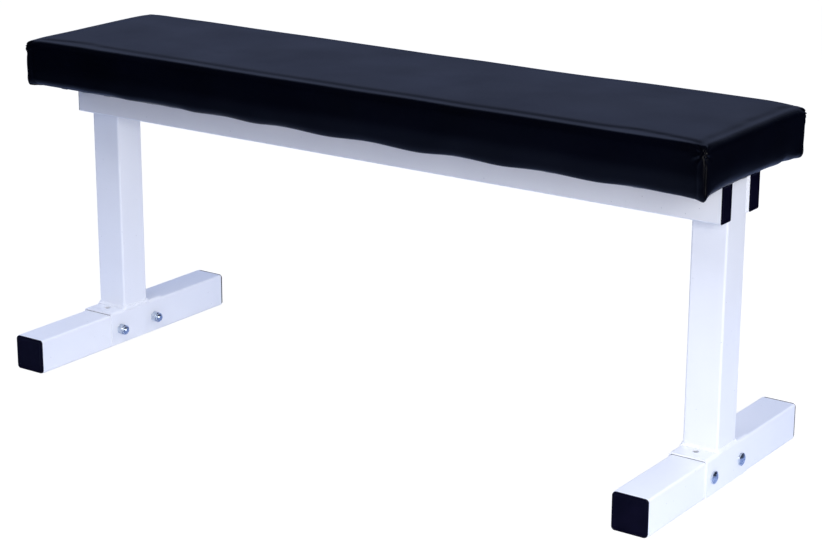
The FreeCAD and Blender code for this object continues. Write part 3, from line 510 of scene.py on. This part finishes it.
plywood, link, shader, add = new_material("plywood")
place = add("TexCoord").outputs["Object"]
figure = grain(add, link, place, scale=9.0, detail=6.0, stretch=LONG_GRAIN)
face = blend_colours(add, link, figure,
                     low=(0.40, 0.26, 0.14), high=(0.66, 0.48, 0.29), start=0.35, end=0.62)
pores = blend_colours(add, link, grain(add, link, place, scale=60.0, detail=3.0, stretch=LONG_PORES),
                      low=(0.72, 0.66, 0.60), high=(1.0, 1.0, 1.0), start=0.36, end=0.5)
ply_bands = add("TexWave", wave_type="BANDS", bands_direction="Z", Scale=70.0, Distortion=0.4)
link(place, ply_bands.inputs["Vector"])
wood = multiply_colours(add, link, face, pores)
link(multiply_colours(add, link, wood, ply_bands.outputs["Color"], factor=BAND_SHARE),
     shader.inputs["Base Color"])
link(blend_values(add, link, figure, low=0.60, high=0.78), shader.inputs["Roughness"])
raise_skin(add, link, shader, grain(add, link, place, scale=60.0, detail=3.0, stretch=LONG_PORES),
           PORE_DEPTH)
dress("pad_board", plywood)

# ---------------------------------------------------------------- pad cover
# Black vinyl pulled over a foam block and round the edges of the board, stapled underneath.
# The vinyl is gathered into one pleat at each corner and its lower edge is drawn up in scallops.
PLAN_CORNER = 0.0045        # corner radius seen from above
TOP_ROLL = 0.0080           # radius of the top edge, and of the lower edge
LOWER_ROLL = 0.009
COLUMNS, ROWS, COURSES = 120, 52, 17
END_CROWDING, SIDE_CROWDING = 0.88, 0.75
SWELL_CAP = 0.0020          # the most the foam pushes the vinyl out
SWELL_FRAMES = 20
FACING_UP = 0.7
TOP_EASE = 0.050            # how far in from its edges the top reaches its full swell
SIDE_EASE = 0.022
MARGIN = 0.045              # how far the vinyl is turned in under the board
BOARD_EDGE = 0.015          # from the pad's side to where the board is flat underneath

pad_low, pad_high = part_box("pad_cover")
pad_half = Vector((pad_high.x, pad_high.y, 0.0))
pad_floor, pad_top = pad_low.z, pad_high.z


def crowd(place, amount):
    """Move an even spacing from -1 to 1 so that it grows closer towards both ends."""
    return (1 - amount) * place + amount * math.sin(math.pi / 2 * place)


def inset_of(point, half, corner):
    """How far a point is inside a rounded outline seen from above, and the way out."""
    past = Vector((abs(point.x) - half.x + corner, abs(point.y) - half.y + corner))
    if past.x > 0 and past.y > 0:
        away, way = past.length, past.normalized()
    elif past.x > past.y:
        away, way = past.x, Vector((1.0, 0.0))
    else:
        away, way = past.y, Vector((0.0, 1.0))
    return corner - away, Vector((math.copysign(way.x, point.x), math.copysign(way.y, point.y), 0.0))


def smooth_step(value):
    """A ramp from 0 to 1 with level ends."""
    value = min(max(value, 0.0), 1.0)
    return value * value * (3 - 2 * value)


# A closed block of even squares, crowded towards its edges, then rolled over at every edge.
hide = bmesh.new()
bmesh.ops.create_cube(hide, size=2.0)
for axis, cuts in ((0, COLUMNS - 1), (1, ROWS - 1), (2, COURSES - 1)):
    along = [e for e in hide.edges if abs(e.verts[0].co[axis] - e.verts[1].co[axis]) > 1.5]
    bmesh.ops.subdivide_edges(hide, edges=along, cuts=cuts, use_grid_fill=True)

for vertex in hide.verts:
    x = pad_half.x * crowd(vertex.co.x, END_CROWDING)
    y = pad_half.y * crowd(vertex.co.y, SIDE_CROWDING)
    z = pad_floor + (pad_top - pad_floor) * (vertex.co.z + 1) / 2
    square = Vector((abs(x) - pad_half.x + PLAN_CORNER, abs(y) - pad_half.y + PLAN_CORNER))
    if square.x > 0 and square.y > 0:
        square *= max(square) / square.length
        x = math.copysign(pad_half.x - PLAN_CORNER + square.x, x)
        y = math.copysign(pad_half.y - PLAN_CORNER + square.y, y)
    vertex.co = Vector((x, y, z))
    for level, roll, up in ((pad_top, TOP_ROLL, 1), (pad_floor, LOWER_ROLL, -1)):
        inset, way = inset_of(vertex.co, pad_half, PLAN_CORNER)
        edge = Vector((roll - inset, roll - up * (level - vertex.co.z)))
        if edge.x > 0 and edge.y > 0:
            turned = edge * (max(edge) / edge.length)
            vertex.co += way * (turned.x - edge.x)
            vertex.co.z += up * (turned.y - edge.y)

cover_mesh = bpy.data.meshes.new("vinyl_cover")
hide.to_mesh(cover_mesh)
hide.free()
cover = bpy.data.objects.new("vinyl_cover", cover_mesh)
bpy.context.scene.collection.objects.link(cover)

held = cover.vertex_groups.new(name="stapled")
held.add([v.index for v in cover_mesh.vertices if v.co.z < pad_floor + LOWER_ROLL], 1.0, "REPLACE")
cloth = cover.modifiers.new("Cloth", "CLOTH")
cloth.settings.quality = 6
cloth.settings.use_pressure = True
cloth.settings.uniform_pressure_force = 4.0
cloth.settings.tension_stiffness = 60.0
cloth.settings.compression_stiffness = 60.0
cloth.settings.bending_stiffness = 2.0
cloth.settings.effector_weights.gravity = 0.0
cloth.settings.vertex_group_mass = "stapled"
cloth.point_cache.frame_start = 1
cloth.point_cache.frame_end = SWELL_FRAMES
for step in range(1, SWELL_FRAMES + 1):
    bpy.context.scene.frame_set(step)
swollen = cover.evaluated_get(bpy.context.evaluated_depsgraph_get()).data
moves = [new.co - old.co for new, old in zip(swollen.vertices, cover_mesh.vertices)]
cover.modifiers.remove(cloth)
cover.vertex_groups.remove(held)
# The foam fills its corners, so the vinyl may move out of its flat faces but not in, and
# the swell dies away towards the edges.
for vertex, move in zip(cover_mesh.vertices, moves):
    if abs(vertex.normal.z) > FACING_UP:
        ease = smooth_step(inset_of(vertex.co, pad_half, PLAN_CORNER)[0] / TOP_EASE)
    else:
        ease = smooth_step(min(pad_top - vertex.co.z, vertex.co.z - pad_floor) / SIDE_EASE)
    swell = ease * vertex.normal * max(move.dot(vertex.normal), 0.0)
    vertex.co += swell * (SWELL_CAP / math.hypot(SWELL_CAP, swell.length))
bpy.context.scene.frame_set(1)

finer = cover.modifiers.new("Subdivision", "SUBSURF")
finer.levels = finer.render_levels = 1
graph = bpy.context.evaluated_depsgraph_get()
smoothed = bpy.data.meshes.new_from_object(cover.evaluated_get(graph))
cover.modifiers.clear()
cover.data = smoothed
smoothed.name = "vinyl_cover"
bpy.data.meshes.remove(cover_mesh)

# Where the staples draw the lower edge up, and how far it hangs between them: a place along
# the edge and a height above the finished underside.
FRONT_SCALLOPS = (
    (-0.555, 0.0030), (-0.500, 0.0032), (-0.472, 0.0036), (-0.440, 0.0024), (-0.402, 0.0030),
    (-0.367, 0.0012), (-0.320, 0.0024), (-0.277, 0.0020), (-0.244, 0.0000), (-0.195, 0.0018),
    (-0.136, -0.0011), (-0.090, 0.0013), (-0.013, -0.0019), (0.055, 0.0010), (0.134, -0.0024),
    (0.199, 0.0017), (0.263, -0.0012), (0.326, 0.0018), (0.404, -0.0007), (0.460, 0.0022),
    (0.512, 0.0008), (0.555, -0.0010),
)
REAR_SCALLOPS = (
    (-0.550, 0.0010), (-0.480, 0.0026), (-0.410, -0.0010), (-0.330, 0.0020), (-0.250, -0.0016),
    (-0.190, 0.0014), (-0.110, -0.0020), (-0.020, 0.0012), (0.070, -0.0018), (0.140, 0.0016),
    (0.230, -0.0008), (0.310, 0.0022), (0.380, 0.0004), (0.450, 0.0028), (0.550, 0.0012),
)
END_SCALLOPS = (
    (-0.135, -0.0010), (-0.105, 0.0014), (-0.060, 0.0030), (0.000, 0.0034), (0.045, 0.0028),
    (0.078, 0.0012), (0.090, 0.0024), (0.112, 0.0004), (0.135, 0.0012),
)
# Where the foam stands a little proud along the rear of the top: a place and a height.
CROWN = ((-0.50, 0.0008), (0.00, 0.0), (0.20, 0.0004), (0.40, 0.0020), (0.50, 0.0016), (0.558, 0.0))


def scallop(along, points):
    """Height of a drawn-up edge between given low and high points, with level turns."""
    for (start, low), (end, high) in zip(points, points[1:]):
        if start <= along <= end:
            return low + (high - low) * smooth_step((along - start) / (end - start))
    return points[0][1] if along < points[0][0] else points[-1][1]


# The lower edge is drawn in under the long sides and further in under the ends, over this
# height and this far under the pad.
SIDE_TUCK = 0.0030
TUCK_RISE, TUCK_REACH = 0.034, 0.040
END_TUCK = 0.0050
END_TUCK_RISE, END_TUCK_REACH = 0.024, 0.020
SCALLOP_RISE = 0.026        # how high up the side the scallops show
SIDE_BAND = 0.012           # how far in from the outline the side's folds die away
TOP_BAND = 0.012
TOP_SKIN = 0.004
UNEVEN = 0.0006             # slight unevenness everywhere, closer on the sides than on the top
SIDE_GRAIN, TOP_GRAIN = 22.0, 9.0
# The foot of each corner keeps some slack and stands out, and its top sinks a little.
CORNER_REACH = 0.05
CORNER_SLACK, SLACK_REACH = 0.8, 0.026
CORNER_FLARE, FLARE_REACH, FLARE_RISE = 0.0020, 0.014, 0.022
CORNER_DROP, DROP_REACH, DROP_DEPTH = 0.0015, 0.022, 0.03
# Each corner's spare vinyl lies in one flat pleat beside the corner, on the long side, between
# a deep crease at the corner and a shallower one.
PLEAT_WIDTH = 0.012
PLEAT_SWELL = 0.0012
PLEAT_START, PLEAT_FADE = 0.007, 0.006
CREASE_DEPTH, FAR_CREASE = 0.0016, 0.6
CREASE_WIDTH = 0.0013
CREASE_SHIFT = 0.001
# A small bunch of gathers tops the pleat, and the pleat's foot makes a nub below the lower edge.
GATHER_SIDE, GATHER_FALL = 0.004, 0.008
GATHER_DEPTH = 0.0013
GATHER_REACH = 0.010
GATHER_RING, GATHER_HEART = 0.004, 0.003
BROAD_FOLDS, FINE_FOLDS = 7, 11
NUB_DROP, NUB_WIDTH, NUB_RISE = 0.0028, 0.006, 0.012
OPENING_RISE = 0.006        # the vinyl under the foam is cut away below this height


def hollow(distance, width):
    """A rounded dip or hill: 1 in its middle, near 0 at twice its width."""
    return math.exp(-(distance / width) ** 2)


shape = bmesh.new()
shape.from_mesh(smoothed)
for vertex in shape.verts:
    inset, way = inset_of(vertex.co, pad_half, PLAN_CORNER)
    rise = vertex.co.z - pad_floor
    fall = pad_top - vertex.co.z
    side = smooth_step(1 - inset / SIDE_BAND)
    lower = smooth_step(1 - rise / TUCK_RISE) * smooth_step(1 - inset / TUCK_REACH)
    free = smooth_step(1 - rise / SCALLOP_RISE) * smooth_step(1.4 - 1.4 * inset / BOARD_EDGE)
    if abs(way.y) > abs(way.x):
        lift = scallop(vertex.co.x, FRONT_SCALLOPS if way.y < 0 else REAR_SCALLOPS)
    else:
        lift = scallop(vertex.co.y * math.copysign(1, way.x), END_SCALLOPS)
    facing_end = smooth_step(2 * abs(way.x) - 0.5)
    from_corner = Vector((pad_half.x - abs(vertex.co.x), pad_half.y - abs(vertex.co.y)))
    slack = 1 - CORNER_SLACK * hollow(from_corner.length, SLACK_REACH)
    out = -SIDE_TUCK * lower * (1 - facing_end * (1 - slack))
    out -= ((END_TUCK - SIDE_TUCK) * facing_end * slack * max(1 - rise / END_TUCK_RISE, 0.0) ** 2
            * smooth_step(1 - inset / END_TUCK_REACH))
    out += CORNER_FLARE * hollow(from_corner.length, FLARE_REACH) * smooth_step(1 - rise / FLARE_RISE)
    up = lift * free
    if max(from_corner) < CORNER_REACH:
        # Distance round the corner: negative on the long side, positive on the end.
        round_corner = from_corner.y - from_corner.x
        on_pleat = side * smooth_step((fall - PLEAT_START) / PLEAT_FADE)
        out += on_pleat * PLEAT_SWELL * hollow(round_corner + PLEAT_WIDTH / 2, PLEAT_WIDTH / 2)
        out -= on_pleat * CREASE_DEPTH * hollow(round_corner - CREASE_SHIFT, CREASE_WIDTH)
        out -= on_pleat * FAR_CREASE * CREASE_DEPTH * hollow(round_corner + PLEAT_WIDTH, CREASE_WIDTH)
        bunch = Vector((round_corner + GATHER_SIDE, fall - GATHER_FALL))
        turn = math.atan2(bunch.y, bunch.x)
        # Corners that face each other across the pad crumple alike, their neighbours otherwise.
        shift = math.copysign(2.0, vertex.co.x * vertex.co.y)
        crumple = math.sin(BROAD_FOLDS * turn + 1.3) + 0.6 * math.sin(FINE_FOLDS * turn + shift)
        near = hollow(bunch.length - GATHER_RING, GATHER_REACH) * smooth_step(bunch.length / GATHER_HEART)
        out += side * GATHER_DEPTH * near * crumple
        up -= CORNER_DROP * hollow(from_corner.length, DROP_REACH) * smooth_step(1 - fall / DROP_DEPTH)
        up -= NUB_DROP * hollow(round_corner, NUB_WIDTH) * smooth_step(1 - rise / NUB_RISE) * side
    if fall < TOP_BAND:
        up += scallop(vertex.co.x, CROWN) * smooth_step(0.5 + vertex.co.y / pad_half.y)
    out += UNEVEN * side * noise.noise(vertex.co * SIDE_GRAIN)
    up += UNEVEN * smooth_step(1 - fall / TOP_SKIN) * noise.noise(vertex.co * TOP_GRAIN)
    vertex.co += way * out
    vertex.co.z += up

opening = [
    face for face in shape.faces
    if face.calc_center_median().z < pad_floor + OPENING_RISE
    and abs(face.calc_center_median().x) < pad_half.x - MARGIN
    and abs(face.calc_center_median().y) < pad_half.y - MARGIN
]
bmesh.ops.delete(shape, geom=opening, context="FACES")
shape.to_mesh(smoothed)
shape.free()
for polygon in smoothed.polygons:
    polygon.use_smooth = True

EMBOSSING = 0.00005

vinyl, link, shader, add = new_material("black_vinyl")
place = add("TexCoord").outputs["Object"]
link(blend_colours(add, link, grain(add, link, place, scale=12.0),
                   low=(0.0001, 0.0002, 0.0015), high=(0.0002, 0.0004, 0.0026)),
     shader.inputs["Base Color"])
link(blend_values(add, link, grain(add, link, place, scale=9.0, detail=4.0), low=0.32, high=0.38),
     shader.inputs["Roughness"])
shader.inputs["Specular IOR Level"].default_value = 0.13
leather = add("TexVoronoi", Scale=900.0)
link(place, leather.inputs["Vector"])
raise_skin(add, link, shader, leather.outputs["Distance"], EMBOSSING)
smoothed.materials.append(vinyl)

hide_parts("pad_cover", "pad_foam")
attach(cover, "root")
